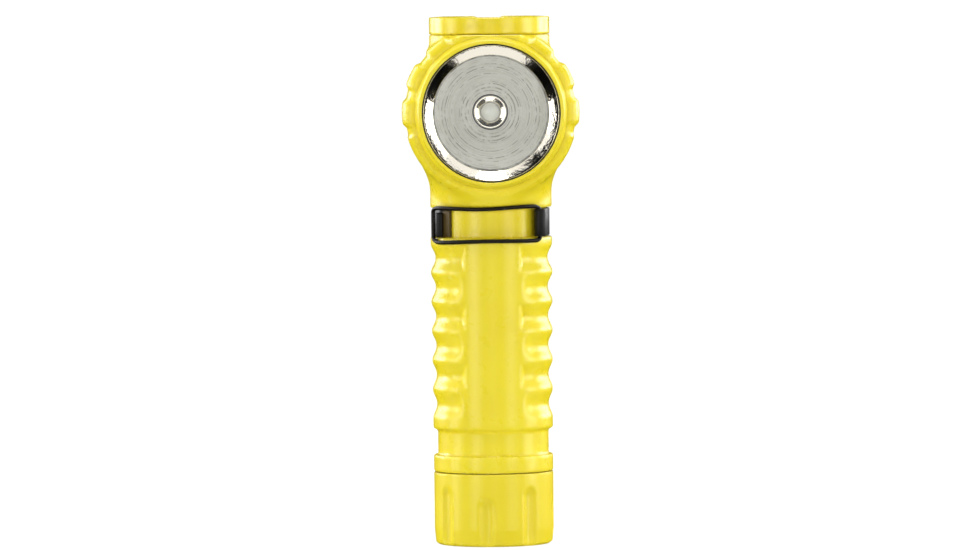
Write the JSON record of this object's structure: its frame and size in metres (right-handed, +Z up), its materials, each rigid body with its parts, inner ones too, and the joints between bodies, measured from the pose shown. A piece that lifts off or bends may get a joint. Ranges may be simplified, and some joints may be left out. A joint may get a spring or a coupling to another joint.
{
  "type": "firefighter flashlight",
  "caption": "Right-angle clip light: ribbed yellow barrel, sideways lamp head, guarded top button, screw-on tail cap, and a band with a rear spring clip and front wire bail.",
  "frame": {"origin": "centre of the flat tail face, on the barrel's axis", "axes": "+Z up the barrel towards the switch; -Y is the way the lamp shines; +X is the side of the bail's hinge"},
  "size_m": [0.043, 0.043, 0.1287],
  "materials": {
    "yellow_nylon": "fine stipple, satin",
    "black_rubber": "matt",
    "chrome": "polished",
    "clear_lens": "clear, polished",
    "reflector_metal": "turned and metallised",
    "led_silicone": "clear dome over phosphor",
    "white_plastic": "matt",
    "black_plastic": "matt",
    "steel": "bright zinc",
    "black_steel": "black oxide, satin",
    "aluminium": "machined",
    "brass": "satin",
    "circuit_board": "solder mask",
    "red_insulation": "satin",
    "black_insulation": "satin",
    "cell_sleeve": "plain shrink sleeve"
  },
  "bodies": {
    "housing": {"body_shell": "yellow_nylon", "front_bezel": "yellow_nylon", "bezel_gasket": "black_rubber", "chrome_ring": "chrome", "lens": "clear_lens", "lens_seal": "black_rubber", "reflector": "reflector_metal", "led_ring": "chrome", "led_dome": "led_silicone", "led_package": "white_plastic", "led_insulator": "black_plastic", "led_board": "white_plastic", "board_screws": "steel", "heat_sink": "aluminium", "driver_spacer": "white_plastic", "driver_board": "circuit_board", "driver_components": "black_plastic", "led_lead_red": "red_insulation", "led_lead_black": "black_insulation", "switch_guard": "yellow_nylon", "switch_boot": "black_rubber", "switch_spring": "steel", "switch_module": "black_plastic", "switch_board": "circuit_board", "switch_leads": "red_insulation", "positive_contact": "brass", "contact_carrier": "black_plastic", "carrier_screws": "steel", "positive_lead": "red_insulation", "ground_lead": "black_insulation", "battery_tube": "aluminium", "upper_cell": "aluminium", "upper_cell_wrap": "cell_sleeve", "lower_cell": "aluminium", "lower_cell_wrap": "cell_sleeve", "tube_seal": "black_rubber", "clip_band": "black_steel", "clip_base": "black_steel", "clip_rivets": "black_steel"},
    "button": {"button_core": "black_plastic"},
    "tail_carrier": {"tail_contact": "brass", "tail_spring": "steel", "tail_retainer": "steel", "ground_ring": "brass"},
    "tail_cap": {"tail_cap": "yellow_nylon"},
    "bail": {"wire_bail": "black_steel"},
    "clip_arm": {"clip_arm": "black_steel"}
  },
  "joints": [
    {"name": "button_press", "type": "slide", "parent": "housing", "child": "button", "axis": [0, 0, -1], "range_m": [0, 0.0012], "stiffness_N_per_m": 2500, "springref_m": -0.0012, "deforming": ["switch_spring", "switch_boot"]},
    {"name": "tail_cap_travel", "type": "slide", "parent": "housing", "child": "tail_carrier", "axis": [0, 0, -1], "range_m": [0, 0.00751]},
    {"name": "tail_cap_turn", "type": "hinge", "parent": "tail_carrier", "child": "tail_cap", "pos_m": [0, 0, 0.01], "axis": [0, 0, -1], "range_deg": [0, 1080]},
    {"name": "bail_swing", "type": "hinge", "parent": "housing", "child": "bail", "pos_m": [0.01177, -0.01001, 0.0782], "axis": [0, 0, 1], "range_deg": [0, 110]},
    {"name": "clip_flex", "type": "hinge", "parent": "housing", "child": "clip_arm", "pos_m": [0, 0.01745, 0.0891], "axis": [1, 0, 0], "range_deg": [0, 6], "stiffness_Nm_per_rad": 2.4, "springref_deg": -1.15}
  ],
  "couplings": [
    {"joint": "tail_cap_travel", "follows": "tail_cap_turn", "m_per_rad": 0.00039789}
  ]
}
